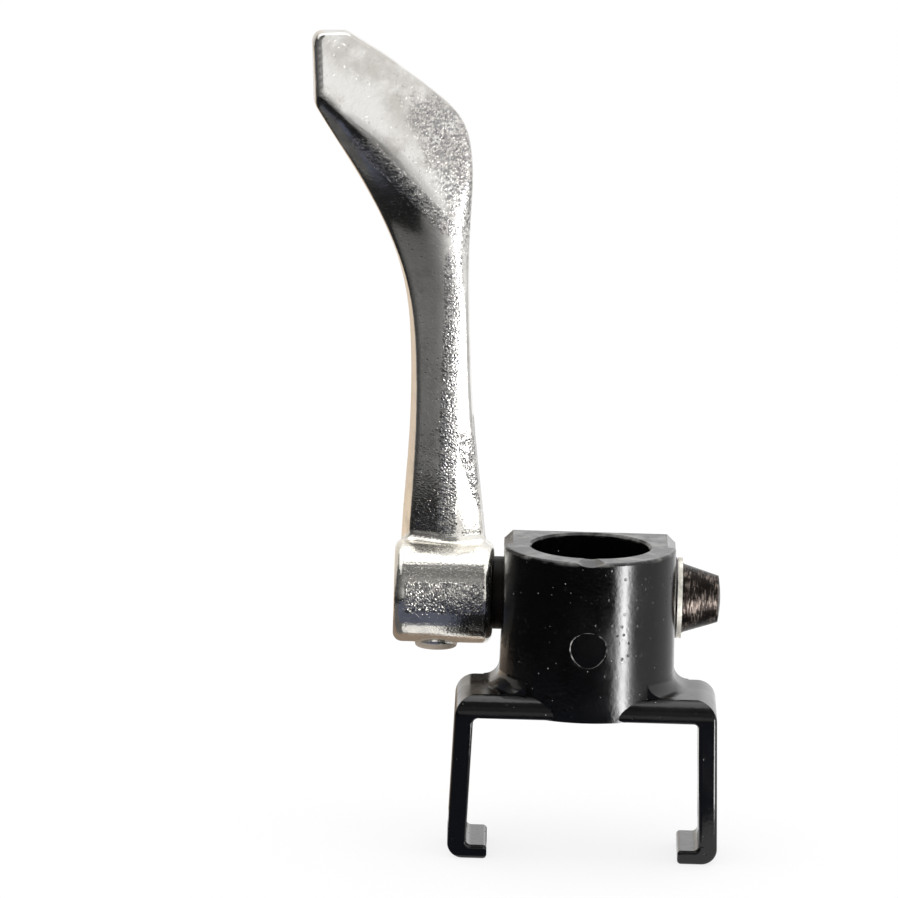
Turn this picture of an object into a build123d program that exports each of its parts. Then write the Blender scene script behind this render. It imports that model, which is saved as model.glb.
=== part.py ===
from build123d import *
import os
from math import cos, radians, sqrt, tan

# A cam lever: a cast saddle that clips over a rail, with an upright bore for a waisted stud and a
# cross shaft behind the bore. The lever turns the shaft, and the shaft's middle locks in the waist.
# X runs along the cam shaft with the lever at -X, Y runs back, Z up.
# The origin is on the axis of the stud bore, in the plane of the saddle's underside.

# Housing
bore_radius = 7.7            # passes a 1/2 in stud head with room to tilt
bore_chamfer = 0.3
boss_wall = 3.45             # round the front of the bore
boss_height = 21.1           # saddle underside to top face
boss_back = 8.4              # bore axis to the flat back face
boss_draft = 0.7             # degrees
boss_shoulder = 1.1          # chamfer along the top of each flat side
boss_edge = 0.4              # round on the other top edges
flare_radius = 2.0           # where the boss runs out into the saddle
flare_overlap = 0.4          # how far the run-out is bedded in the boss
plate_thickness = 2.8
saddle_front = 10.6          # bore axis to the saddle's front face
saddle_front_round = 2.4     # along the top of that face
saddle_back = 4.2            # bore axis to the saddle's back face
saddle_half_width = 16.9     # over the legs, at the top
bend_radius = 2.5            # outside of the corner from plate to leg
inner_radius = 0.7
leg_thickness = 2.4
leg_splay = 1.8              # degrees outward
leg_drop = 18.8              # saddle underside to the sole of the feet
foot_front_taper = 0.9       # how much further back the feet start
foot_back_taper = 1.9        # how much sooner the feet end
taper_start = 1.0            # below the saddle's underside
hook_reach = 2.75            # how far each foot turns in past its leg
hook_thickness = 1.8
heel_radius = 2.0
saddle_edge = 0.5            # round on the saddle's front and back edges
hook_round = 0.5             # on the tips of the hooks
tunnel_wall = 2.5            # round the cam shaft
tunnel_half_length = 11.15
tunnel_blend = 1.0           # fillet between the tunnel and the boss's back
tunnel_cover = 0.4           # flat back left between that fillet and the top face
spot_face_radius = 5.8       # machined flat round each end of the tunnel
notch_radius = 4.0           # scallop over the front rim of the bore
notch_depth = 0.5            # at the outside of the boss
notch_slope = 7.0            # degrees, down towards the front
gate_mark_radius = 2.45      # round spot that the casting gate left on the front
gate_mark_depth = 0.35
gate_mark_height = 9.5

# Cam shaft
stud_waist_radius = 4.03     # of the stud that the cam locks
waist_clearance = 0.02
journal_radius = 4.6
running_clearance = 0.05     # journal in the tunnel
relief_clearance = 0.15      # relief behind the bore wall while the lever is open
neck_radius = 4.75           # shoulder between lever and housing
neck_clearance = 0.03        # shoulder to housing
spigot_radius = 4.0          # in the lever's hub
spigot_recess = 0.3
spigot_chamfer = 0.5
groove_depth = 0.25          # for the snap ring
land_length = 0.1            # between the groove and the tapered nose
nose_length = 4.6
nose_base_radius = 4.5
nose_tip_radius = 3.05
nose_dome = 0.3

# Rings
ring_outer_radius = 5.3
ring_seat_clearance = 0.02
snap_ring_thickness = 0.62
snap_ring_opening = 3.0
wave_washer_thickness = 0.2
wave_height = 0.4            # over the crests
wave_slack = 0.03            # from the crests to what they bear on
sheet_margin = 1.0           # of the waved sheet that the washer is cut from
sheet_steps = 8              # from edge to edge of that sheet

# Lever
hub_radius = 6.7
hub_length = 13.0
hub_gap = 1.25               # housing to hub, bridged by the neck
hub_outer_round = 1.2
hub_inner_round = 1.3
hub_fit = 0.02
pin_offset = -0.8            # from the hub's middle
pin_radius = 1.25
pin_fit = 0.02
pin_past_axis = 2.6
pin_sink = 0.25              # below the face of the pad that the pin goes in through
pin_chamfer = 0.25
pad_radius = 2.75
pad_height = 0.65            # below the lowest line of the hub
pad_edge = 0.3

# Handle, seen from the front: distance from the hub's middle, height above the shaft axis
handle_left = [
    (-5.75, 0.0),
    (-5.75, 9.0),
    (-5.35, 20.0),
    (-5.45, 31.0),
    (-6.4, 40.0),
    (-8.75, 47.0),
    (-13.2, 55.0),
    (-18.7, 63.5),
]
tip_left = (-19.2, 72.9)
tip_right = (-14.6, 73.0)
handle_right = [
    (-11.1, 70.9),
    (-3.3, 65.5),
    (0.7, 61.6),
    (2.1, 57.0),
    (2.2, 48.0),
    (2.5, 35.0),
    (3.4, 22.0),
    (5.0, 9.0),
    (5.9, 0.0),
]
# Handle, seen from the side: depth of the back behind the shaft axis, height above it
handle_back = [
    (6.3, 0.0),
    (6.0, 8.0),
    (5.3, 22.0),
    (5.25, 32.0),
    (5.9, 46.0),
    (6.7, 58.0),
    (6.9, 66.0),
    (6.9, 76.0),
]
handle_widest = 5.0          # depth at which the outline above is drawn
grip_height = 30.0           # up to here the handle is grip
paddle_height = 62.0         # from here on it is paddle
grip_left_draft = 0.26       # how the left flank narrows for each millimetre forward
paddle_left_draft = 0.09
right_draft = 0.05
front_at_hub = -1.2          # depth of the front's crest
front_lean = 0.036           # how fast the crest leans back with height
# The crest is the line where the front stands proudest.
crest_offset = 0.0           # from the hub's middle, along the grip
crest_turn_height = 49.5     # where it turns out across the paddle
crest_run = 1.13             # how far it then runs out for each millimetre up
crest_softness = 5.0         # how gently it turns
crest_half_width = 1.6       # of the round along it
grip_left_fall = 0.26        # slopes of the front on each side of the crest
grip_right_fall = 0.34
paddle_left_fall = 0.50
paddle_right_fall = 0.20
root_swing = 5.0             # how far the crest swings in towards the housing at the shaft
root_swing_height = 16.0
section_step = 4.0           # between the sections of the front
root_fillet = 1.3            # from the handle's front to the hub
root_back = 2.2              # how far behind the shaft axis that fillet may start
handle_front_round = 0.9
handle_back_round = 1.2
heel_round = 2.2             # where the paddle's left edge turns upright
tip_round = 1.5

# Limits that pick out faces and edges
facing_angle = 25.0          # degrees from Y within which a face or edge counts as facing along it
seam_tolerance = 0.02

# Worked out from the values above
boss_radius = bore_radius + boss_wall
boss_foot_radius = boss_radius + boss_height * tan(radians(boss_draft))
shaft_y = stud_waist_radius + waist_clearance + journal_radius
shaft_z = boss_height - tunnel_cover - tunnel_blend - tunnel_wall - journal_radius
neck_end = -tunnel_half_length - neck_clearance
hub_right = -tunnel_half_length - hub_gap
hub_left = hub_right - hub_length
hub_middle = (hub_left + hub_right) / 2
pin_x = hub_middle + pin_offset
pad_depth = hub_radius + pad_height
wave_start = tunnel_half_length + wave_slack
snap_ring_start = wave_start + wave_height + wave_slack
groove_radius = journal_radius - groove_depth
groove_end = snap_ring_start + snap_ring_thickness + wave_slack
nose_start = groove_end + land_length
span = 10 * boss_height      # longer than the whole part, for cutting and trimming
handle_span = handle_back[-1][1]
facing = cos(radians(facing_angle))


def shaft_plane(x):
    """The plane across the cam shaft at x, with its own x axis pointing back."""
    return Plane(origin=(x, shaft_y, shaft_z), x_dir=(0, 1, 0), z_dir=(1, 0, 0))


def shaft_cylinder(radius, x_start, x_end):
    """A cylinder on the cam shaft's axis between two X positions."""
    return extrude(shaft_plane(x_start) * Circle(radius), x_end - x_start)


def blend(low, high, share):
    """low at share 0 and high at share 1, with level ends."""
    share = min(max(share, 0.0), 1.0)
    return low + (high - low) * share * share * (3 - 2 * share)


def half_space(y_limit):
    """Everything behind y_limit."""
    return Pos(0, y_limit + span / 2) * Box(span, span, span)


def shaft_reach(edge):
    """How far an edge's middle is from the cam shaft's axis."""
    middle = edge.position_at(0.5)
    return sqrt((middle.Y - shaft_y) ** 2 + (middle.Z - shaft_z) ** 2)


def rim(body, direction):
    """The edges round all the faces that look forward (-1) or back (1)."""
    faces = [face for face in body.faces() if face.normal_at().Y * direction > facing]
    edges = [edge for face in faces for edge in face.edges()]
    return [edge for edge in edges if edges.count(edge) == 1]


def boss_body():
    """The drafted upright boss: half round in front, square behind."""
    foot_back = boss_back + boss_height * tan(radians(boss_draft))
    half = Pos(0, -boss_foot_radius) * Rectangle(2 * boss_foot_radius, 2 * boss_foot_radius)
    square = Pos(0, foot_back / 2) * Rectangle(2 * boss_foot_radius, foot_back)
    body = extrude((Circle(boss_foot_radius) & half) + square, boss_height, taper=boss_draft)
    top_rim = body.faces().sort_by(Axis.Z)[-1].edges().filter_by(GeomType.CIRCLE)
    return fillet(top_rim, boss_edge)


def shoulder_cuts():
    """What the chamfers take off along the tops of the two flat sides."""
    start = boss_radius - boss_shoulder
    depth = 2 * boss_shoulder
    corner = Polyline(
        (start, boss_height),
        (start + depth, boss_height - depth),
        (start + depth, boss_height),
        close=True,
    )
    cut = extrude(Plane.XZ * make_face(corner), -2 * boss_back)
    return cut + mirror(cut, Plane.YZ)


def flare():
    """The concave run-out of the boss into the saddle, trimmed to the saddle's front face."""
    wall = boss_radius + (boss_height - plate_thickness) * tan(radians(boss_draft))
    inner = wall - flare_overlap
    outer = wall + flare_radius
    bed = plate_thickness / 2
    top = plate_thickness + flare_radius
    with BuildSketch(Plane.XZ) as section:
        with BuildLine():
            Polyline((wall, top), (inner, top), (inner, bed), (outer, bed), (outer, plate_thickness))
            RadiusArc((outer, plate_thickness), (wall, top), flare_radius)
        make_face()
    round_front = revolve(section.sketch, Axis.Z, 360) - half_space(0)
    side = extrude(section.sketch, -saddle_back)
    return (round_front + side + mirror(side, Plane.YZ)) & half_space(-saddle_front)


def saddle():
    """Plate, splayed legs and inward hooks, drawn from the front, run back and tapered."""
    splay = tan(radians(leg_splay))
    sole = -leg_drop
    outer_top = saddle_half_width
    outer_sole = outer_top + (plate_thickness + leg_drop) * splay
    inner_top = outer_top + plate_thickness * splay - leg_thickness
    inner_hook = inner_top + (leg_drop - hook_thickness) * splay
    hook_tip = inner_hook - hook_reach
    with BuildSketch(Plane.XZ) as section:
        with BuildLine():
            right = FilletPolyline(
                (0, plate_thickness),
                (outer_top, plate_thickness),
                (outer_sole, sole),
                (hook_tip, sole),
                (hook_tip, sole + hook_thickness),
                (inner_hook, sole + hook_thickness),
                (inner_top, 0),
                (0, 0),
                radius=[bend_radius, heel_radius, hook_round, hook_round, inner_radius, inner_radius],
            )
            mirror(right, Plane.YZ)
        make_face()
    body = Pos(0, saddle_back) * extrude(section.sketch, saddle_front + saddle_back)
    side_view = Polyline(
        (-saddle_front, plate_thickness),
        (-saddle_front, -taper_start),
        (foot_front_taper - saddle_front, sole),
        (saddle_back - foot_back_taper, sole),
        (saddle_back, -taper_start),
        (saddle_back, plate_thickness),
        close=True,
    )
    body &= extrude(Plane.YZ * make_face(side_view), span, both=True)
    body = fillet(rim(body, -1), saddle_edge)
    return fillet(rim(body, 1), saddle_edge)


def front_corner():
    """What the large round along the top of the saddle's front face takes off."""
    axis_y = saddle_front_round - saddle_front
    axis_z = plate_thickness - saddle_front_round
    with BuildSketch(Plane.YZ) as section:
        with BuildLine():
            corner = Polyline(
                (axis_y, plate_thickness),
                (axis_y, span),
                (-span, span),
                (-span, axis_z),
                (-saddle_front, axis_z),
            )
            RadiusArc(corner @ 0, corner @ 1, -saddle_front_round)
        make_face()
    return extrude(section.sketch, span, both=True)


def tunnel():
    """The round boss across the back that carries the cam shaft."""
    return shaft_cylinder(journal_radius + tunnel_wall, -tunnel_half_length, tunnel_half_length)


def front_notch():
    """The shallow scallop over the front rim, a round groove that dips towards the front."""
    floor = Pos(0, -boss_radius, boss_height - notch_depth) * Rot(notch_slope, 0, 0)
    return floor * Pos(0, 0, notch_radius) * Rot(90, 0, 0) * Cylinder(notch_radius, 2 * boss_wall)


def gate_mark():
    """The round spot left by the casting gate, sunk square into the curved front."""
    front = boss_radius + (boss_height - gate_mark_height) * tan(radians(boss_draft))
    disc = extrude(Plane.XZ * Circle(gate_mark_radius), boss_wall)
    return Pos(0, gate_mark_depth - front, gate_mark_height) * disc


def make_housing():
    """One die casting: boss, run-out, saddle and tunnel, then the bores and marks."""
    body = boss_body() + tunnel()
    tunnel_radius = journal_radius + tunnel_wall
    lines = body.edges().filter_by(Axis.X)
    seams = [line for line in lines if abs(shaft_reach(line) - tunnel_radius) < seam_tolerance]
    body = fillet(seams, tunnel_blend)
    body = body - shoulder_cuts() + (saddle() + flare() - front_corner())
    body -= extrude(Circle(bore_radius), boss_height)
    circles = body.edges().filter_by(GeomType.CIRCLE).group_by(Axis.Z)[-1]
    mouth = [circle for circle in circles if circle.radius < bore_radius + seam_tolerance]
    body = chamfer(mouth, bore_chamfer)
    body -= shaft_cylinder(journal_radius + running_clearance, -span / 2, span / 2)
    body -= shaft_cylinder(spot_face_radius, tunnel_half_length, span)
    body -= shaft_cylinder(spot_face_radius, -span, -tunnel_half_length)
    return body - front_notch() - gate_mark()


def make_cam_shaft():
    """Spigot, neck, journal with the relief for the stud, ring groove and tapered nose."""
    body = shaft_cylinder(spigot_radius, hub_left + spigot_recess, hub_right)
    body = chamfer(body.faces().sort_by(Axis.X)[0].edges(), spigot_chamfer)
    body += shaft_cylinder(neck_radius, hub_right, neck_end)
    body += shaft_cylinder(journal_radius, neck_end, snap_ring_start)
    body += shaft_cylinder(groove_radius, snap_ring_start, groove_end)
    body += shaft_cylinder(journal_radius, groove_end, nose_start)
    rim_point = (nose_start + nose_length, nose_tip_radius)
    apex = (nose_start + nose_length + nose_dome, 0)
    nose = Polyline(rim_point, (nose_start, nose_base_radius), (nose_start, 0), apex)
    nose += TangentArc(apex, rim_point, tangent=(0, 1))
    body += Pos(0, shaft_y, shaft_z) * revolve(make_face(nose), Axis.X, 360)
    relief = extrude(Circle(bore_radius + relief_clearance), boss_height)
    body -= relief
    return body - pin_hole(pin_radius + pin_fit)


def pad_column(radius, depth, length):
    """An upright cylinder on the pin's axis, its foot at a depth below the shaft axis."""
    column = Cylinder(radius, length, align=(Align.CENTER, Align.CENTER, Align.MIN))
    return Pos(pin_x, shaft_y, shaft_z - depth) * column


def pin_hole(radius):
    """The blind hole drilled up through the hub's pad and across the spigot."""
    return pad_column(radius, pad_depth, pad_depth + pin_past_axis)


def make_lever_pin():
    """The pin that locks the lever's hub to the spigot, sunk a little into the pad."""
    depth = pad_depth - pin_sink
    pin = pad_column(pin_radius, depth, depth + pin_past_axis - pin_fit)
    return chamfer(pin.edges().filter_by(GeomType.CIRCLE), pin_chamfer)


def make_snap_ring():
    """An open retaining ring in the shaft's groove, its gap facing down."""
    ring = Circle(ring_outer_radius) - Circle(groove_radius + ring_seat_clearance)
    ring -= Pos(0, -ring_outer_radius) * Rectangle(snap_ring_opening, ring_outer_radius)
    return extrude(shaft_plane(snap_ring_start) * ring, snap_ring_thickness)


def make_wave_washer():
    """A thin washer pressed into three waves."""
    reach = ring_outer_radius + sheet_margin
    swing = (wave_height - wave_washer_thickness) / 2
    grid = []
    for row in range(sheet_steps + 1):
        across = reach * (2 * row / sheet_steps - 1)
        line = []
        for column in range(sheet_steps + 1):
            up = reach * (2 * column / sheet_steps - 1)
            lift = swing * (across**3 - 3 * across * up**2) / ring_outer_radius**3
            line.append(Vector(across, up, lift))
        grid.append(line)
    sheet = Face.make_surface_from_array_of_points(grid)
    blank = thicken(sheet, wave_washer_thickness / 2, both=True)
    ring = Circle(ring_outer_radius) - Circle(journal_radius + running_clearance)
    tube = Pos(0, 0, -wave_height) * extrude(ring, 2 * wave_height)
    washer = blank & tube
    return shaft_plane(wave_start + wave_height / 2).location * washer


def handle_blend(grip_value, paddle_value, height):
    """A value that changes from the grip's to the paddle's on the way up."""
    return blend(grip_value, paddle_value, (height - grip_height) / (paddle_height - grip_height))


def handle_outline(depth):
    """Front view of the handle, drafted, at a depth behind the shaft axis."""
    ahead = handle_widest - depth

    def drafted(place):
        across, height = place
        return (across + ahead * handle_blend(grip_left_draft, paddle_left_draft, height), height)

    left = [drafted(place) for place in handle_left]
    right = [(across - ahead * right_draft, height) for across, height in handle_right]
    view = Plane(origin=(hub_middle, shaft_y + depth, shaft_z), x_dir=(1, 0, 0), z_dir=(0, -1, 0))
    with BuildSketch(view) as outline:
        with BuildLine():
            Spline(*left)
            Polyline(left[-1], drafted(tip_left), tip_right)
            Spline(tip_right, *right)
            Line(right[-1], left[0])
        make_face()
    return outline.sketch


def crest_place(height):
    """Where the crest of the front lies at a height, from the hub's middle."""
    rise = height - crest_turn_height
    turned = (rise + sqrt(rise * rise + crest_softness * crest_softness)) / 2
    swing = root_swing * max(0, 1 - height / root_swing_height) ** 2
    return crest_offset + swing - crest_run * turned


def front_section(height):
    """What is cut away in front of the handle at a height: two slopes and a round crest."""
    crest = crest_place(height)
    proud = front_at_hub + front_lean * height
    left_fall = handle_blend(grip_left_fall, paddle_left_fall, height)
    right_fall = handle_blend(grip_right_fall, paddle_right_fall, height)
    left_start = (crest - crest_half_width, proud + left_fall * crest_half_width)
    right_start = (crest + crest_half_width, proud + right_fall * crest_half_width)
    left_end = (crest - handle_span, proud + left_fall * handle_span)
    right_end = (crest + handle_span, proud + right_fall * handle_span)
    with BuildSketch() as section:
        with BuildLine():
            Line(left_end, left_start)
            Bezier(left_start, (crest, proud), right_start)
            Line(right_start, right_end)
            Polyline(right_end, (right_end[0], -handle_span), (left_end[0], -handle_span), left_end)
        make_face()
    return Pos(hub_middle, shaft_y, shaft_z + height) * section.sketch


def side_view():
    """Everything in front of the handle's back and above the shaft axis."""
    with BuildSketch(shaft_plane(hub_middle)) as section:
        with BuildLine():
            Spline(*handle_back)
            Polyline(handle_back[-1], (-handle_span, handle_span), (-handle_span, 0), handle_back[0])
        make_face()
    return extrude(section.sketch, handle_span, both=True)


def handle_corners(body):
    """The upright corners of the handle's outline, from the lowest to the highest."""
    edges = [edge for edge in body.edges() if abs(edge.tangent_at(0.5).Y) > facing]
    return ShapeList(edge for edge in edges if edge.center().Z > shaft_z + grip_height).sort_by(Axis.Z)


def above_hub(edges):
    """The edges whose middles lie clear above the hub."""
    return [edge for edge in edges if edge.center().Z > shaft_z + hub_radius]


def make_handle():
    """The drafted outline, cut to the back's profile and to the ridged front, then rounded."""
    body = loft([handle_outline(hub_radius + hub_inner_round), handle_outline(-hub_radius)], ruled=True)
    heights = [section_step * step for step in range(-1, 1 + round(handle_span / section_step))]
    body = (body & side_view()) - loft([front_section(height) for height in heights])
    body = fillet(handle_corners(body)[-2:], tip_round)
    body = fillet(handle_corners(body)[0], heel_round)
    body = fillet(above_hub(rim(body, -1)), handle_front_round)
    return fillet(above_hub(rim(body, 1)), handle_back_round)


def root_seams(body):
    """The edges where the handle's front and its rounds run into the hub."""
    seams = []
    for edge in body.edges().filter_by(GeomType.BSPLINE):
        middle = edge.position_at(0.5)
        on_hub = abs(shaft_reach(edge) - hub_radius) < seam_tolerance
        if on_hub and middle.Z > shaft_z and middle.Y < shaft_y + root_back:
            seams.append(edge)
    return seams


def make_lever():
    """One casting: the hub, and the handle that rises from it to the turned paddle."""
    hub = shaft_cylinder(hub_radius, hub_left, hub_right)
    hub = fillet(hub.faces().sort_by(Axis.X)[0].edges(), hub_outer_round)
    hub = fillet(hub.faces().sort_by(Axis.X)[-1].edges(), hub_inner_round)
    body = hub + make_handle()
    body = fillet(root_seams(body), root_fillet)
    pad = pad_column(pad_radius, pad_depth, pad_depth)
    body += fillet(pad.faces().sort_by(Axis.Z)[0].edges(), pad_edge)
    body -= shaft_cylinder(spigot_radius + hub_fit, hub_left, hub_right)
    return body - pin_hole(pin_radius + pin_fit)


parts = {
    "housing": make_housing(),
    "cam_shaft": make_cam_shaft(),
    "lever": make_lever(),
    "lever_pin": make_lever_pin(),
    "wave_washer": make_wave_washer(),
    "snap_ring": make_snap_ring(),
}
os.makedirs("parts", exist_ok=True)
for name, solid in parts.items():
    solid.label = name
    export_step(solid, f"parts/{name}.step")
    print(name, round(solid.volume, 1), solid.is_valid)
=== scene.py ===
import bpy
import math
import numpy as np
from mathutils import Matrix, Vector
from mathutils.bvhtree import BVHTree


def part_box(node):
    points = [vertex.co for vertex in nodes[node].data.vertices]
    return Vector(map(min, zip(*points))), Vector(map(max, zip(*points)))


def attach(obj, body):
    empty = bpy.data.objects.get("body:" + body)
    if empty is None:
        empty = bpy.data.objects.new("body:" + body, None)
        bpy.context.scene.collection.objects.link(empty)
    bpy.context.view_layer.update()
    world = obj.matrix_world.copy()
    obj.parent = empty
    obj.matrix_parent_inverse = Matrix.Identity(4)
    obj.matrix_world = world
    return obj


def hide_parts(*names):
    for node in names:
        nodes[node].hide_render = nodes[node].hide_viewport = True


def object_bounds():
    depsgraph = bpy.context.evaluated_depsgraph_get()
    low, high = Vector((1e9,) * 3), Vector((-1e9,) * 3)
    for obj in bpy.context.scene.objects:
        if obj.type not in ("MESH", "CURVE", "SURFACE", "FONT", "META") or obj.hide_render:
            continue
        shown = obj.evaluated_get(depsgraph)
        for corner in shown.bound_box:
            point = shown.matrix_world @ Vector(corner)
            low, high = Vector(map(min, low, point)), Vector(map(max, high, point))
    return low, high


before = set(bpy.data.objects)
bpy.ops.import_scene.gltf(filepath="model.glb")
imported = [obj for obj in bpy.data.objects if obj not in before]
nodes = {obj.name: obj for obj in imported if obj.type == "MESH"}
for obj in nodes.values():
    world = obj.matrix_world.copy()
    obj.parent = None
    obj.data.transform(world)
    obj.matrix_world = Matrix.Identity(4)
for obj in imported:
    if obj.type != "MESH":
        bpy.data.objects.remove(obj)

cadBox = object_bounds()
mm = 0.001
print("frame loaded:", len(nodes), "nodes")


# the helpers below each add a node and wire what they are given
def newMaterial(name):
    material = bpy.data.materials.new(name)
    material.use_nodes = True
    tree = material.node_tree
    tree.nodes.clear()
    output = tree.nodes.new("ShaderNodeOutputMaterial")
    shader = tree.nodes.new("ShaderNodeBsdfPrincipled")
    wire(tree, shader.outputs[0], output.inputs["Surface"])
    return material, tree, shader


def wire(tree, source, target):
    tree.links.new(source, target)


def place(tree, stretch=(1, 1, 1)):
    # object coordinates in metres, so every grain keeps its real size
    coords = tree.nodes.new("ShaderNodeTexCoord")
    mapping = tree.nodes.new("ShaderNodeMapping")
    mapping.inputs["Scale"].default_value = stretch
    wire(tree, coords.outputs["Object"], mapping.inputs["Vector"])
    return mapping.outputs["Vector"]


def axis(tree, letter, source="Object"):
    # one of the object coordinates in metres, or one part of the normal
    coords = tree.nodes.new("ShaderNodeTexCoord")
    split = tree.nodes.new("ShaderNodeSeparateXYZ")
    wire(tree, coords.outputs[source], split.inputs[0])
    return split.outputs[letter]


def noise(tree, vector, size, detail=2.0, rough=0.5):
    # size is the width of a blotch in millimetres
    node = tree.nodes.new("ShaderNodeTexNoise")
    node.inputs["Scale"].default_value = 1 / (size * mm)
    node.inputs["Detail"].default_value = detail
    node.inputs["Roughness"].default_value = rough
    wire(tree, vector, node.inputs["Vector"])
    return node.outputs["Fac"]


def cells(tree, vector, size):
    # size is the distance from cell to cell in millimetres
    node = tree.nodes.new("ShaderNodeTexVoronoi")
    node.inputs["Scale"].default_value = 1 / (size * mm)
    wire(tree, vector, node.inputs["Vector"])
    return node


def ramp(tree, value, low, high, lowOut=0.0, highOut=1.0):
    node = tree.nodes.new("ShaderNodeMapRange")
    node.clamp = True
    node.interpolation_type = "SMOOTHSTEP"
    node.inputs["From Min"].default_value = low
    node.inputs["From Max"].default_value = high
    node.inputs["To Min"].default_value = lowOut
    node.inputs["To Max"].default_value = highOut
    wire(tree, value, node.inputs["Value"])
    return node.outputs["Result"]


def along(tree, value, places, lowOut=0.0, highOut=1.0):
    # a ramp from one place to another in millimetres
    return ramp(tree, value, places[0] * mm, places[1] * mm, lowOut, highOut)


def combine(tree, operation, first, second):
    node = tree.nodes.new("ShaderNodeMath")
    node.operation = operation
    for slot, value in ((0, first), (1, second)):
        if isinstance(value, (int, float)):
            node.inputs[slot].default_value = value
        else:
            wire(tree, value, node.inputs[slot])
    return node.outputs[0]


def plus(tree, first, second):
    return combine(tree, "ADD", first, second)


def times(tree, first, second):
    return combine(tree, "MULTIPLY", first, second)


def most(tree, first, *others):
    for other in others:
        first = combine(tree, "MAXIMUM", first, other)
    return first


def between(tree, value, zone):
    # 1 inside the zone, which is its two ends and how soft they are, in millimetres
    low, high, soft = zone
    rise = along(tree, value, (low - soft, low + soft))
    return times(tree, rise, along(tree, value, (high - soft, high + soft), 1.0, 0.0))


def mixValue(tree, factor, first, second):
    node = tree.nodes.new("ShaderNodeMix")
    wire(tree, factor, node.inputs[0])
    node.inputs[2].default_value = first
    node.inputs[3].default_value = second
    return node.outputs[0]


def mixColor(tree, factor, first, second):
    node = tree.nodes.new("ShaderNodeMix")
    node.data_type = "RGBA"
    wire(tree, factor, node.inputs[0])
    for slot, value in ((6, first), (7, second)):
        if isinstance(value, tuple):
            node.inputs[slot].default_value = (*value, 1)
        else:
            wire(tree, value, node.inputs[slot])
    return node.outputs[2]


def bump(tree, height, distance, strength=1.0, under=None):
    # distance is the depth of the relief in millimetres
    node = tree.nodes.new("ShaderNodeBump")
    node.inputs["Strength"].default_value = strength
    node.inputs["Distance"].default_value = distance * mm
    wire(tree, height, node.inputs["Height"])
    if under is not None:
        wire(tree, under, node.inputs["Normal"])
    return node.outputs["Normal"]


def surfaceOf(mesh):
    return BVHTree.FromPolygons([v.co for v in mesh.vertices], [p.vertices for p in mesh.polygons])


# In the finishes below, sizes and depths are in millimetres, and a cover is the two levels of the
# noise at which a mark starts and is full.
enamel = {
    "color": (0.0015, 0.0015, 0.0016),
    "specular": 0.5,
    "rough": (0.09, 0.2),           # clean and smudged
    "smudgeSize": 7.0,
    "smudgeCover": (0.35, 0.7),
    "fineSize": 0.35,
    "fineRough": 0.04,
    "swellSize": 3.0,
    "swellDepth": 0.02,
    "peelSize": 0.55,               # from ripple to ripple of the orange peel
    "peelDepth": 0.016,
    "pitSize": 1.1,                 # from pit to pit
    "pitEdge": (0.08, 0.2),         # in shares of that
    "pitDepth": 0.05,
    "unpittedSize": 6.0,            # of the patches with no pits
    "unpittedCover": (0.4, 0.5),
    "dustSize": 1.25,               # from speck to speck
    "dustEdge": (0.09, 0.13),       # in shares of that
    "dustRagged": 0.12,
    "dustPatchSize": 4.0,
    "dustPatchCover": (0.42, 0.55),
    "dustColor": (0.42, 0.41, 0.39),
    "filmHeights": (20.5, 21.0),    # dust has settled on the boss's top, above these
    "filmSize": 2.2,
    "filmCover": (0.45, 0.7),
    "filmStrength": 0.35,
}


def makeBlackEnamel():
    material, tree, shader = newMaterial("blackEnamel")
    at = place(tree)
    fine = noise(tree, at, enamel["fineSize"])
    smudge = noise(tree, at, enamel["smudgeSize"], detail=3.0)
    rough = ramp(tree, smudge, *enamel["smudgeCover"], *enamel["rough"])
    rough = plus(tree, rough, times(tree, fine, enamel["fineRough"]))
    wire(tree, rough, shader.inputs["Roughness"])
    shader.inputs["Specular IOR Level"].default_value = enamel["specular"]

    dust = cells(tree, at, enamel["dustSize"]).outputs["Distance"]
    dust = plus(tree, dust, times(tree, fine, enamel["dustRagged"]))
    dusty = ramp(tree, noise(tree, at, enamel["dustPatchSize"]), *enamel["dustPatchCover"])
    speck = times(tree, ramp(tree, dust, *enamel["dustEdge"], 1.0, 0.0), dusty)
    film = ramp(tree, noise(tree, at, enamel["filmSize"], detail=4.0), *enamel["filmCover"])
    film = times(tree, along(tree, axis(tree, "Z"), enamel["filmHeights"]), film)
    film = times(tree, film, enamel["filmStrength"])
    color = mixColor(tree, film, enamel["color"], enamel["dustColor"])
    wire(tree, mixColor(tree, speck, color, enamel["dustColor"]), shader.inputs["Base Color"])

    swell = bump(tree, noise(tree, at, enamel["swellSize"], detail=1.0), enamel["swellDepth"])
    peel = bump(tree, noise(tree, at, enamel["peelSize"]), enamel["peelDepth"], under=swell)
    pit = cells(tree, at, enamel["pitSize"]).outputs["Distance"]
    unpitted = ramp(tree, noise(tree, at, enamel["unpittedSize"]), *enamel["unpittedCover"])
    level = most(tree, ramp(tree, pit, *enamel["pitEdge"]), unpitted)
    wire(tree, bump(tree, level, enamel["pitDepth"], under=peel), shader.inputs["Normal"])
    return material


# the paddle's crest in the front view, in millimetres, and how far any point is off it
crestFrom = (-35.1, 75.7)
crestTo = (-18.6, 60.4)
crestLength = math.dist(crestFrom, crestTo)
crestShare = ((crestFrom[1] - crestTo[1]) / crestLength, (crestTo[0] - crestFrom[0]) / crestLength)
crestOffset = crestShare[0] * crestFrom[0] + crestShare[1] * crestFrom[1]

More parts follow.
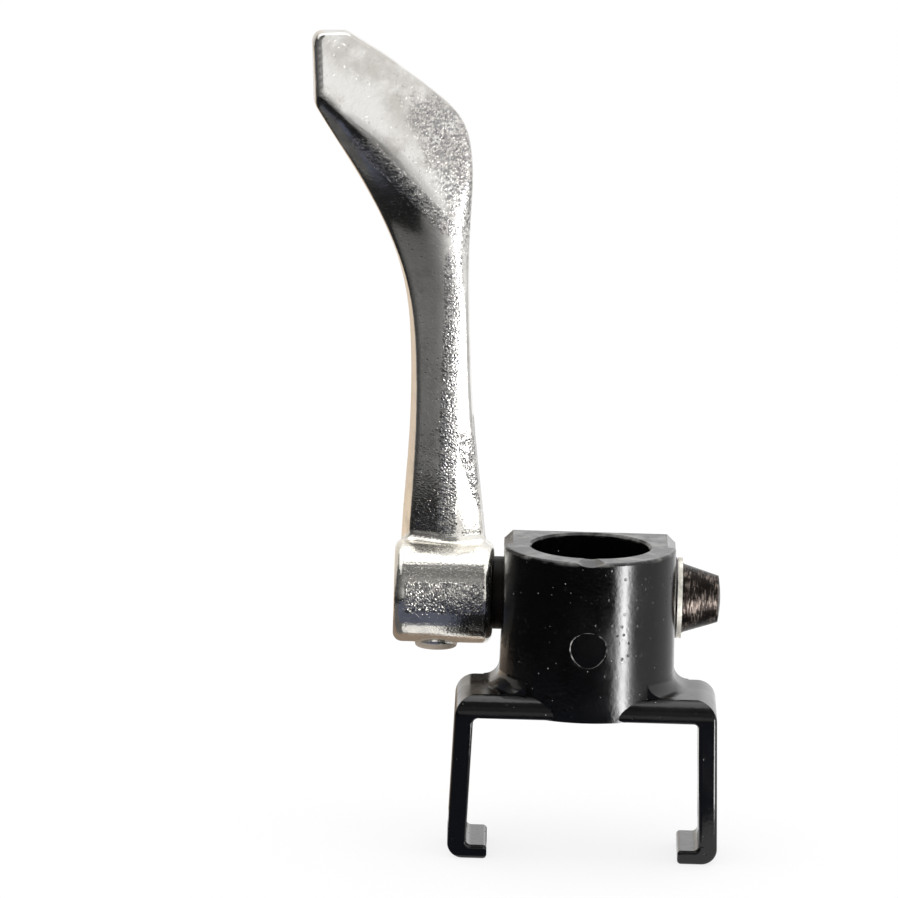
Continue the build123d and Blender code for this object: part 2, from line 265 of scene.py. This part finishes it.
casting = {
    "bright": (0.82, 0.805, 0.775),
    "rootPaintedHighlight": (0.93, 0.905, 0.84),      # a painted highlight: lighter chrome round the hub and the root
    "rootHeights": (22, 30),                # where that gives way to the other
    "dull": (0.60, 0.575, 0.54),
    "dullCover": (0.45, 0.8),
    "offCrestDarkening": (2.5, 6.0),               # from this far off its crest, towards its upper right, the paddle is darker in patches
    "offCrestDarkCover": (0.3, 0.6),
    "stainSize": 4.0,
    "stainRough": 0.08,
    "roughPolished": 0.1,
    "waveSize": 6.0,                        # between the waves of hand polishing
    "waveDepth": 0.05,
    "pitSize": 0.9,
    "pitEdge": (0.06, 0.2),
    "pitDepth": 0.02,
    "pitStrength": 0.6,
    # the cast skin where the polishing wheel missed it
    "dirty": (0.33, 0.32, 0.32),            # in its grain
    "dirtyCover": (0.2, 0.9),
    "roughCast": 0.22,
    "grainSize": 0.3,
    "grainDepth": 0.12,
    "grainHeights": (15, 62),               # the grain is coarser low on the lever
    "grainShares": (1.5, 0.6),
    "polishedGrain": 0.08,                  # share of the grain left on the polished faces
    "raggedSize": 2.0,
    "raggedCover": (0.85, 1.45),
    "frontNormals": (-0.2, 0.05),           # the back is polished all over
    # its zones, as two ends and how soft they are: round the hub's middle, in a wedge beside the
    # root, down the crest, on both sides of the paddle's crest and on the paddle's right half
    "hubUp": (10.9, 15.2, 0.5),
    "hubAcross": (-24, -13.6, 0.4),
    "wedgeUp": (23, 34, 1.5),
    "wedgeEdge": (-7.6, -6.6),
    "wedgeLean": 0.33,
    "crestUp": (20, 58, 2),
    "crestAcross": (-20.0, -17.5, 0.6),
    "seamUp": (58, 72, 3),
    "seamOff": (-1.6, 0.7, 0.7),
    "paddleUp": (53, 78, 4),
    "paddleEdge": (5.5, 11.0),
    "paddleLean": 0.45,
    # the rough pad round the pin, below these heights; its tan colour is a painted reflection of a warm
    # floor
    "padHeights": (5.85, 6.15),
    "padPaintedTan": (0.50, 0.42, 0.34),
    "padMetallic": 0.2,
    "padRough": 0.5,
}


def beyondLine(tree, across, up, lean, places):
    # 0 to 1 across a line that leans to the left as it rises
    return along(tree, plus(tree, across, times(tree, up, lean)), places)


def missedByWheel(tree, across, up, offCrest):
    # 1 on what is left of the cast skin, at any pose
    hub = times(tree, between(tree, up, casting["hubUp"]), between(tree, across, casting["hubAcross"]))
    crest = times(tree, between(tree, up, casting["crestUp"]), between(tree, across, casting["crestAcross"]))
    seam = times(tree, between(tree, offCrest, casting["seamOff"]), between(tree, up, casting["seamUp"]))
    wedge = beyondLine(tree, across, up, casting["wedgeLean"], casting["wedgeEdge"])
    wedge = times(tree, between(tree, up, casting["wedgeUp"]), wedge)
    paddle = beyondLine(tree, across, up, casting["paddleLean"], casting["paddleEdge"])
    paddle = times(tree, between(tree, up, casting["paddleUp"]), paddle)
    front = ramp(tree, axis(tree, "Y", "Normal"), *casting["frontNormals"], 1.0, 0.0)
    return times(tree, most(tree, hub, wedge, crest, seam, paddle), front)


def makePolishedCasting():
    material, tree, shader = newMaterial("polishedCasting")
    at = place(tree)
    across = axis(tree, "X")
    up = axis(tree, "Z")
    stain = noise(tree, at, casting["stainSize"], detail=4.0, rough=0.6)
    grain = cells(tree, at, casting["grainSize"])
    shiny = tree.nodes.new("ShaderNodeSeparateColor")
    wire(tree, grain.outputs["Color"], shiny.inputs[0])
    offCrest = plus(tree, times(tree, across, crestShare[0]), times(tree, up, crestShare[1]))
    offCrest = combine(tree, "SUBTRACT", offCrest, crestOffset * mm)
    skin = missedByWheel(tree, across, up, offCrest)
    ragged = plus(tree, skin, noise(tree, at, casting["raggedSize"], detail=4.0, rough=0.7))
    ragged = ramp(tree, ragged, *casting["raggedCover"])
    pad = along(tree, up, casting["padHeights"], 1.0, 0.0)

    # the paddle is darker in noisy patches away from its crest, on one side of it
    offCrestDark = ramp(tree, stain, *casting["offCrestDarkCover"])
    offCrestDark = times(tree, along(tree, offCrest, casting["offCrestDarkening"]), offCrestDark)
    dull = most(tree, ramp(tree, stain, *casting["dullCover"]), offCrestDark)
    dirt = times(tree, ragged, ramp(tree, shiny.outputs[0], *casting["dirtyCover"]))
    # the lighter colour round the hub and root, below rootHeights, is a painted highlight
    upper = along(tree, up, casting["rootHeights"])
    color = mixColor(tree, upper, casting["rootPaintedHighlight"], casting["bright"])
    color = mixColor(tree, dull, color, casting["dull"])
    color = mixColor(tree, dirt, color, casting["dirty"])
    # the pad's tan is a painted reflection of a warm floor under the hub
    wire(tree, mixColor(tree, pad, color, casting["padPaintedTan"]), shader.inputs["Base Color"])
    wire(tree, mixValue(tree, pad, 1.0, casting["padMetallic"]), shader.inputs["Metallic"])

    rough = mixValue(tree, ragged, casting["roughPolished"], casting["roughCast"])
    rough = most(tree, rough, times(tree, pad, casting["padRough"]))
    rough = plus(tree, rough, times(tree, stain, casting["stainRough"]))
    wire(tree, rough, shader.inputs["Roughness"])

    wave = bump(tree, noise(tree, at, casting["waveSize"], detail=1.0), casting["waveDepth"])
    share = times(tree, mixValue(tree, ragged, casting["polishedGrain"], 1.0), shiny.outputs[1])
    share = times(tree, share, along(tree, up, casting["grainHeights"], *casting["grainShares"]))
    relief = times(tree, grain.outputs["Distance"], share)
    coarse = bump(tree, relief, casting["grainDepth"], under=wave)
    pit = cells(tree, at, casting["pitSize"]).outputs["Distance"]
    hollow = ramp(tree, pit, *casting["pitEdge"])
    pitted = bump(tree, hollow, casting["pitDepth"], casting["pitStrength"], coarse)
    wire(tree, pitted, shader.inputs["Normal"])
    return material


gateMark = {
    "radius": 2.35,
    "height": 9.6,                  # of its middle above the saddle's underside
    "wobble": 0.03,                 # share by which it is out of round
    "wire": 0.1,                    # from the burr's middle to its top where it is thickest
    "unevenWire": 0.25,
    "rings": 10,
    "steps": 72,
    "burrHighlightGrey": (0.42, 0.41, 0.39),
    "burrHighlightSize": 1.1,
    "wearAndHighlightCover": (0.42, 0.6),
    "wearAndHighlightAcross": (-1.0, 2.0),      # the painted highlight is strongest on the left and fainter on the right
    "burrHighlightShares": (1.0, 0.35),
    "rough": (0.15, 0.4),
    "roughSize": 0.4,
    "roughCover": (0.3, 0.7),
    "grainSize": 0.2,
    "grainDepth": 0.02,
}


def makeBurrPaintedHighlight():
    # a painted highlight: the burr is lighter grey in noisy patches, most of all on its left
    material, tree, shader = newMaterial("burrPaintedHighlight")
    at = place(tree)
    brokenUp = ramp(tree, noise(tree, at, gateMark["burrHighlightSize"], detail=3.0), *gateMark["wearAndHighlightCover"])
    # the left of the burr gets more of the painted highlight
    left = along(tree, axis(tree, "X"), gateMark["wearAndHighlightAcross"], *gateMark["burrHighlightShares"])
    color = mixColor(tree, times(tree, brokenUp, left), enamel["color"], gateMark["burrHighlightGrey"])
    wire(tree, color, shader.inputs["Base Color"])
    rough = ramp(tree, noise(tree, at, gateMark["roughSize"]), *gateMark["roughCover"], *gateMark["rough"])
    wire(tree, rough, shader.inputs["Roughness"])
    grain = noise(tree, at, gateMark["grainSize"])
    wire(tree, bump(tree, grain, gateMark["grainDepth"]), shader.inputs["Normal"])
    return material


def makeGateMark(material):
    # the burr left round the sprue, laid on the front wall
    wall = surfaceOf(nodes["housing"].data)
    uneven = gateMark["unevenWire"]
    rings, steps = gateMark["rings"], gateMark["steps"]
    points, faces = [], []
    for n in range(steps):
        turn = 2 * math.pi * n / steps
        radius = gateMark["radius"] * (1 + gateMark["wobble"] * math.sin(3 * turn))
        x = radius * math.cos(turn) * mm
        z = (gateMark["height"] + radius * math.sin(turn)) * mm
        front = wall.ray_cast(Vector((x, -0.1, z)), Vector((0, 1, 0)))[0]
        thick = gateMark["wire"] * (1 - uneven + uneven * math.sin(2 * turn + 1)) * mm
        for k in range(rings):
            lean = 2 * math.pi * k / rings
            out = Vector((math.cos(turn), 0, math.sin(turn))) * math.cos(lean) * thick
            points.append(front + out + Vector((0, -math.sin(lean) * thick, 0)))
            following, beside = (n + 1) % steps, (k + 1) % rings
            corners = [(n, k), (n, beside), (following, beside), (following, k)]
            faces.append([a * rings + b for a, b in corners])
    mesh = bpy.data.meshes.new("gateMark")
    mesh.from_pydata(points, [], faces)
    mesh.polygons.foreach_set("use_smooth", [True] * len(mesh.polygons))
    mesh.materials.append(material)
    burr = bpy.data.objects.new("gateMark", mesh)
    bpy.context.scene.collection.objects.link(burr)
    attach(burr, "base")
    print("gate mark:", len(faces), "faces")


steel = {
    "dark": (0.010, 0.008, 0.007),
    "worn": (0.20, 0.165, 0.145),
    "wearAndHighlightAcross": (8, 12),          # only the nose is worn, to the right of here
    "wornMetallic": 0.85,
    "wearAndHighlightCover": (0.22, 0.42),
    "specular": 0.08,
    "stainSize": 2.2,
    "rough": (0.22, 0.45),
    "roughCover": (0.3, 0.7),
    "turningSize": 1.2,             # between the turning marks round the shaft
    "turningStretch": (6, 1, 1),
    "turningDepth": 0.02,
    "grainSize": 0.5,
    "grainDepth": 0.03,
    "grainStrength": 0.7,
}


def makeBlackenedSteel():
    material, tree, shader = newMaterial("blackenedSteel")
    at = place(tree)
    stain = noise(tree, at, steel["stainSize"], detail=4.0, rough=0.65)
    stretched = place(tree, steel["turningStretch"])
    turning = noise(tree, stretched, steel["turningSize"], detail=3.0, rough=0.6)
    nose = along(tree, axis(tree, "X"), steel["wearAndHighlightAcross"])
    worn = times(tree, ramp(tree, times(tree, stain, turning), *steel["wearAndHighlightCover"]), nose)
    wire(tree, mixColor(tree, worn, steel["dark"], steel["worn"]), shader.inputs["Base Color"])
    wire(tree, times(tree, nose, steel["wornMetallic"]), shader.inputs["Metallic"])
    shader.inputs["Specular IOR Level"].default_value = steel["specular"]
    wire(tree, ramp(tree, stain, *steel["roughCover"], *steel["rough"]), shader.inputs["Roughness"])
    turned = bump(tree, turning, steel["turningDepth"])
    grain = noise(tree, at, steel["grainSize"], detail=3.0, rough=0.7)
    brokenUp = bump(tree, grain, steel["grainDepth"], steel["grainStrength"], turned)
    wire(tree, brokenUp, shader.inputs["Normal"])
    return material


pinSteel = {"color": (0.50, 0.43, 0.36), "rough": (0.45, 0.6)}
springSteel = {"color": (0.16, 0.15, 0.15), "rough": (0.25, 0.4)}
zincPlate = {"color": (0.94, 0.91, 0.83), "rough": (0.5, 0.65)}

# what those three share
smallMetal = {
    "stainSize": 1.5,
    "stainCover": (0.35, 0.7),
    "stainShade": 0.7,              # share of the colour left in a stain
    "roughCover": (0.3, 0.7),
    "grainSize": 0.3,
    "grainDepth": 0.008,
}


def makeSmallMetal(name, metal):
    material, tree, shader = newMaterial(name)
    at = place(tree)
    stain = noise(tree, at, smallMetal["stainSize"], detail=3.0, rough=0.6)
    stained = tuple(c * smallMetal["stainShade"] for c in metal["color"])
    color = mixColor(tree, ramp(tree, stain, *smallMetal["stainCover"]), metal["color"], stained)
    wire(tree, color, shader.inputs["Base Color"])
    shader.inputs["Metallic"].default_value = 1.0
    wire(tree, ramp(tree, stain, *smallMetal["roughCover"], *metal["rough"]), shader.inputs["Roughness"])
    grain = noise(tree, at, smallMetal["grainSize"])
    wire(tree, bump(tree, grain, smallMetal["grainDepth"]), shader.inputs["Normal"])
    return material


def paint(node, material):
    mesh = nodes[node].data
    mesh.materials.clear()
    mesh.materials.append(material)


polish = {
    "grain": 0.22,          # millimetres between the points of the polished skin
    "press": 0.5,
    "relax": -0.508,        # undoes the shrinking of each press
    "start": 38.0,          # height above the saddle's underside where the wheel starts to round
    "full": 50.0,
    "edgePasses": 120,
    "crestPasses": 320,
    "crestWidth": 3.2,      # how far the wheel reaches on each side of the paddle's crest
    "crestFree": 1.0,       # millimetres at the paddle's left tip that it leaves alone
    "crestBlend": 5.0,
    "crestFacing": 0.35,    # a face that looks at least this far forward gets the whole of it
}


def makeFineSkin(cast, piece):
    # an even mesh, and its points put back on the solid
    fine = piece.modifiers.new("fine", "REMESH")
    fine.mode = "VOXEL"
    fine.voxel_size = polish["grain"] * mm
    depsgraph = bpy.context.evaluated_depsgraph_get()
    skin = bpy.data.meshes.new_from_object(piece.evaluated_get(depsgraph))
    piece.modifiers.clear()
    surface = surfaceOf(cast.data)
    return skin, np.array([surface.find_nearest(v.co)[0] for v in skin.vertices])


def roundByHand(points, edges, weight, steps, passes):
    # each pass pulls every point towards its neighbours, and a step below zero lets it back
    count = np.bincount(edges.ravel(), minlength=len(points))[:, None]
    for n in range(passes):
        for step in steps:
            middle = np.zeros_like(points)
            for column in range(3):
                one = np.bincount(edges[:, 0], points[edges[:, 1], column], len(points))
                two = np.bincount(edges[:, 1], points[edges[:, 0], column], len(points))
                middle[:, column] = one + two
            points += (middle / count - points) * weight * step
    return points


def polishLever(skin, points):
    # the wheel rounds every edge high on the lever, and the paddle's crest most of all
    press, relax = polish["press"], polish["relax"]
    edges = np.empty(len(skin.edges) * 2, dtype=int)
    skin.edges.foreach_get("vertices", edges)
    edges = edges.reshape(-1, 2)
    high = np.clip((points[:, 2] / mm - polish["start"]) / (polish["full"] - polish["start"]), 0, 1)
    points = roundByHand(points, edges, high[:, None], (press, relax), polish["edgePasses"])
    facing = np.array([v.normal.y for v in skin.vertices])
    offCrest = crestShare[0] * points[:, 0] / mm + crestShare[1] * points[:, 2] / mm - crestOffset
    near = np.exp(-(offCrest / polish["crestWidth"]) ** 2) * np.clip(-facing / polish["crestFacing"], 0, 1)
    inward = points[:, 0] / mm - crestFrom[0] - polish["crestFree"]
    near *= np.clip(inward / polish["crestBlend"], 0, 1) * high
    return roundByHand(points, edges, near[:, None], (press,), polish["crestPasses"])


def makeLeverCasting(material):
    cast = nodes["lever"]
    piece = bpy.data.objects.new("leverCasting", cast.data.copy())
    bpy.context.scene.collection.objects.link(piece)
    skin, points = makeFineSkin(cast, piece)
    points = np.clip(polishLever(skin, points), *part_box("lever"))
    skin.vertices.foreach_set("co", points.ravel())
    skin.polygons.foreach_set("use_smooth", [True] * len(skin.polygons))
    skin.materials.clear()
    skin.materials.append(material)
    skin.update()
    piece.data = skin
    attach(piece, "cam")
    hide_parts("lever")
    print("lever casting:", len(skin.polygons), "faces")


paint("housing", makeBlackEnamel())
makeGateMark(makeBurrPaintedHighlight())
makeLeverCasting(makePolishedCasting())
paint("cam_shaft", makeBlackenedSteel())
paint("lever_pin", makeSmallMetal("pinSteel", pinSteel))
paint("wave_washer", makeSmallMetal("springSteel", springSteel))
paint("snap_ring", makeSmallMetal("zincPlate", zincPlate))
print("materials made")


studio = {
    "elevation": 11.8,              # degrees the camera looks down
    "roll": 1.65,
    "distance": 1.6,                # metres from the object
    "viewWidth": 0.11662,           # metres across the view at the object
    "boreAcross": 0.018376,         # metres that the bore's top is right of the view's middle
    "boreDown": 0.012545,           # and below it
    "sensor": 36,                   # millimetres across the camera's sensor
    "floorColor": (0.9, 0.9, 0.9),
    "floorRough": 0.9,
    "floorGlow": 0.8,               # share of the floor that is plain white to the camera
    "floorSize": 6.0,               # metres from its middle to its edges
    "skyColor": (1, 1, 1),
    "skyStrength": 1.0,
    "topPower": 4.0,                # watts of the soft lamp overhead
    "topSize": (1.4, 0.9),
    "topPlace": (0, 0.25, 1.1),
    "lowestBoard": 0.0003,          # metres above the floor
    "boardSpacing": 0.0001,
    "boardReach": 1.4,              # metres from the object to the upright boards
    "boardSteps": 32,               # flat pieces in a board's curve
    "plainTint": (1, 1, 1),
}

# Matt boards round the object, seen only in its gloss. Azimuth 0 is in front of it and 90 on its
# right. The tones run evenly from the first azimuth to the last, 1 is white paper.
floorBoards = {
    "nearGrey": {"azimuths": (-128, -58), "radii": (0.025, 0.115), "tones": [0.12]},
    "nearBlue": {"azimuths": (-75, 33), "radii": (0.013, 0.115), "tones": [0.12],
                 "tint": (0.82, 0.9, 1.25)},
    "middleBlack": {"azimuths": (-128, 33), "radii": (0.115, 0.27), "tones": [0.03, 0.02, 0.01, 0.01, 0.01]},
    "farGrey": {"azimuths": (-128, 20), "radii": (0.27, 1.4),
                "tones": [0.4, 0.10, 0.07, 0.07, 0.10, 0.16, 0.22, 0.34, 1.0]},
    "stripe": {"azimuths": (34, 62), "radii": (0.04, 1.0), "tones": [4, 7, 20, 26, 8, 2.4, 1.7]},
    "rightGrey": {"azimuths": (62, 150), "radii": (0.02, 1.0), "tones": [0.8, 0.6, 0.6, 0.8]},
    "backLeft": {"azimuths": (-180, -162), "radii": (0.02, 1.4), "tones": [0.9]},
    "tanFloor": {"azimuths": (-162, -128), "radii": (0.02, 1.4), "tones": [0.82, 0.78, 0.65],
                 "tint": (1.0, 0.83, 0.66)},
    "underHub": {"azimuths": (-155, -70), "radii": (0.010, 0.019), "tones": [0.01]},
    "tanCard": {"azimuths": (-165, -112), "radii": (0.022, 0.12), "tones": [0.22],
                "tint": (1.2, 0.95, 0.75)},
}
uprightBoards = {
    "horizon": {"azimuths": (-128, 14), "elevations": (-1, 18),
                "tones": [0.4, 0.10, 0.07, 0.07, 0.10, 0.16, 0.28, 0.5, 0.8]},
    "hood": {"azimuths": (-128, 12), "elevations": (18, 44), "tones": [0.08, 0.08, 0.12, 0.3]},
    "ceilingEdge": {"azimuths": (-40, 14), "elevations": (44, 74), "tones": [0.16]},
    "ceilingSoft": {"azimuths": (-40, 14), "elevations": (74, 79), "tones": [0.45]},
    "stripeTop": {"azimuths": (34, 62), "elevations": (-1, 14), "tones": [2, 2]},
    "back": {"azimuths": (150, 185), "elevations": (-1, 24), "tones": [0.7, 1.2, 0.9]},
    "tanWall": {"azimuths": (185, 258), "elevations": (-1, 40), "tones": [0.9, 0.62, 0.55],
                "tint": (1.05, 1.0, 0.93)},
}

# a card close behind the saddle's left end, of which only the saddle's top shows anything
cards = {
    "backCard": {"azimuths": (188, 201), "distance": 0.06, "heights": (0.027, 0.045), "tones": [0.02],
                 "tint": (1.6, 1.2, 0.8)},
}


def makeCamera():
    tilt = math.radians(studio["elevation"])
    roll = math.radians(studio["roll"])
    forward = Vector((0, math.cos(tilt), -math.sin(tilt)))
    flatRight = Vector((1, 0, 0))
    flatUp = Vector((0, math.sin(tilt), math.cos(tilt)))
    right = flatRight * math.cos(roll) + flatUp * math.sin(roll)
    up = flatUp * math.cos(roll) - flatRight * math.sin(roll)
    boreTop = Vector((0, 0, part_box("housing")[1].z))
    aim = boreTop - right * studio["boreAcross"] + up * studio["boreDown"]
    data = bpy.data.cameras.new("camera")
    data.sensor_width = studio["sensor"]
    data.lens = studio["sensor"] * studio["distance"] / studio["viewWidth"]
    data.clip_start = 0.01
    data.clip_end = 50
    camera = bpy.data.objects.new("camera", data)
    bpy.context.scene.collection.objects.link(camera)
    turn = Matrix((right, up, -forward)).transposed()
    camera.matrix_world = Matrix.Translation(aim - forward * studio["distance"]) @ turn.to_4x4()
    bpy.context.scene.camera = camera


def addStage(name, points, faces, material):
    mesh = bpy.data.meshes.new(name)
    mesh.from_pydata(points, [], faces)
    mesh.materials.append(material)
    board = bpy.data.objects.new(name, mesh)
    bpy.context.scene.collection.objects.link(board)
    return board


def makeFloor():
    size = studio["floorSize"]
    z = cadBox[0].z
    material, tree, shader = newMaterial("paleFloor")
    shader.inputs["Base Color"].default_value = (*studio["floorColor"], 1)
    shader.inputs["Roughness"].default_value = studio["floorRough"]
    glow = tree.nodes.new("ShaderNodeEmission")
    ray = tree.nodes.new("ShaderNodeLightPath")
    seen = most(tree, ray.outputs["Is Camera Ray"], ray.outputs["Is Glossy Ray"])
    blend = tree.nodes.new("ShaderNodeMixShader")
    wire(tree, times(tree, seen, studio["floorGlow"]), blend.inputs[0])
    wire(tree, shader.outputs[0], blend.inputs[1])
    wire(tree, glow.outputs[0], blend.inputs[2])
    output = next(n for n in tree.nodes if n.type == "OUTPUT_MATERIAL")
    wire(tree, blend.outputs[0], output.inputs["Surface"])
    corners = [(-size, -size, z), (size, -size, z), (size, size, z), (-size, size, z)]
    addStage("floor", corners, [(0, 1, 2, 3)], material)


def makeMattBoard():
    material = bpy.data.materials.new("mattBoard")
    material.use_nodes = True
    tree = material.node_tree
    tree.nodes.clear()
    output = tree.nodes.new("ShaderNodeOutputMaterial")
    glow = tree.nodes.new("ShaderNodeEmission")
    tone = tree.nodes.new("ShaderNodeVertexColor")
    tone.layer_name = "tone"
    wire(tree, tone.outputs["Color"], glow.inputs["Color"])
    wire(tree, glow.outputs[0], output.inputs["Surface"])
    return material


def addBoard(name, board, edges, material):
    # edges are (distance, height) of the board's lower and upper edge
    steps = studio["boardSteps"]
    first, last = board["azimuths"]
    tones = board["tones"]
    tint = board.get("tint", studio["plainTint"])
    points, faces, shades = [], [], []
    for n in range(steps + 1):
        share = n / steps
        angle = math.radians(first + (last - first) * share)
        spot = share * (len(tones) - 1)
        low = min(int(spot), len(tones) - 1)
        high = min(low + 1, len(tones) - 1)
        tone = tones[low] + (tones[high] - tones[low]) * (spot - low)
        for distance, height in edges:
            points.append((distance * math.sin(angle), -distance * math.cos(angle), cadBox[0].z + height))
            shades += [tone * tint[0], tone * tint[1], tone * tint[2], 1]
        if n:
            faces.append((2 * n - 2, 2 * n, 2 * n + 1, 2 * n - 1))
    stage = addStage(name, points, faces, material)
    layer = stage.data.color_attributes.new("tone", "FLOAT_COLOR", "POINT")
    layer.data.foreach_set("color", shades)
    stage.visible_camera = False
    stage.visible_diffuse = False
    stage.visible_shadow = False
    stage.visible_transmission = False


def makeBoards():
    material = makeMattBoard()
    for n, (name, board) in enumerate(floorBoards.items()):
        # no two boards share a plane, and all lie below the tops of the saddle's feet
        lift = studio["lowestBoard"] + n * studio["boardSpacing"]
        addBoard(name, board, [(radius, lift) for radius in board["radii"]], material)
    reach = studio["boardReach"]
    for name, board in uprightBoards.items():
        angles = [math.radians(elevation) for elevation in board["elevations"]]
        edges = [(reach * math.cos(angle), reach * math.sin(angle)) for angle in angles]
        addBoard(name, board, edges, material)
    for name, card in cards.items():
        addBoard(name, card, [(card["distance"], height) for height in card["heights"]], material)
    print("boards:", len(floorBoards) + len(uprightBoards) + len(cards))


def makeLight():
    world = bpy.data.worlds.new("studioWorld")
    bpy.context.scene.world = world
    world.use_nodes = True
    background = world.node_tree.nodes["Background"]
    background.inputs["Color"].default_value = (*studio["skyColor"], 1)
    background.inputs["Strength"].default_value = studio["skyStrength"]
    data = bpy.data.lights.new("topLight", "AREA")
    data.shape = "RECTANGLE"
    data.size, data.size_y = studio["topSize"]
    data.energy = studio["topPower"]
    lamp = bpy.data.objects.new("topLight", data)
    lamp.location = studio["topPlace"]
    bpy.context.scene.collection.objects.link(lamp)


makeCamera()
makeFloor()
makeBoards()
makeLight()
bpy.context.scene.view_settings.view_transform = "Standard"
print("studio made")
